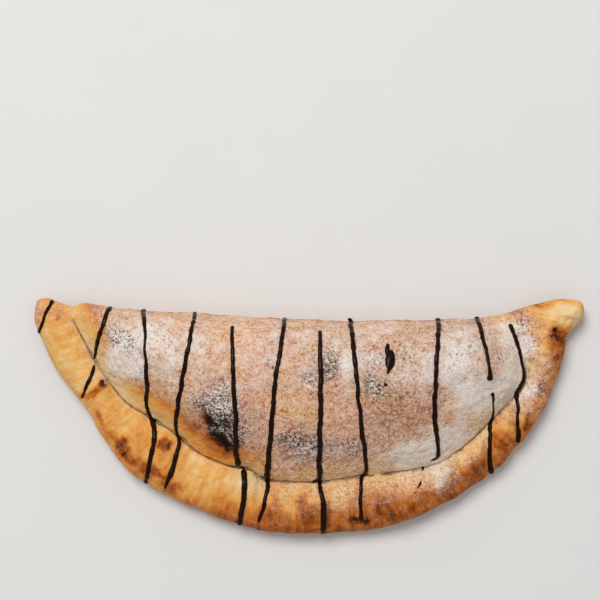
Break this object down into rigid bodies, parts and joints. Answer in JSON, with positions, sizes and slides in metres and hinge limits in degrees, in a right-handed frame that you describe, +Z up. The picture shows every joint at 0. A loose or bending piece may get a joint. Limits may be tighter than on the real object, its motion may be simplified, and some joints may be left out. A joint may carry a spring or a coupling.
{
  "type": "calzone",
  "caption": "Baked half-moon calzone: swollen dough dome with a straight fold, crimped rolled rim and flat underside.",
  "frame": {"origin": "middle of the footprint's box, on the flat underside", "axes": "+X along the fold towards the ear-shaped tip, +Y from the rim to the fold, +Z up"},
  "size_m": [0.3, 0.1288, 0.0409],
  "materials": {
    "baked_crust": "matte"
  },
  "bodies": {
    "root": {"crust": "baked_crust"}
  },
  "joints": []
}
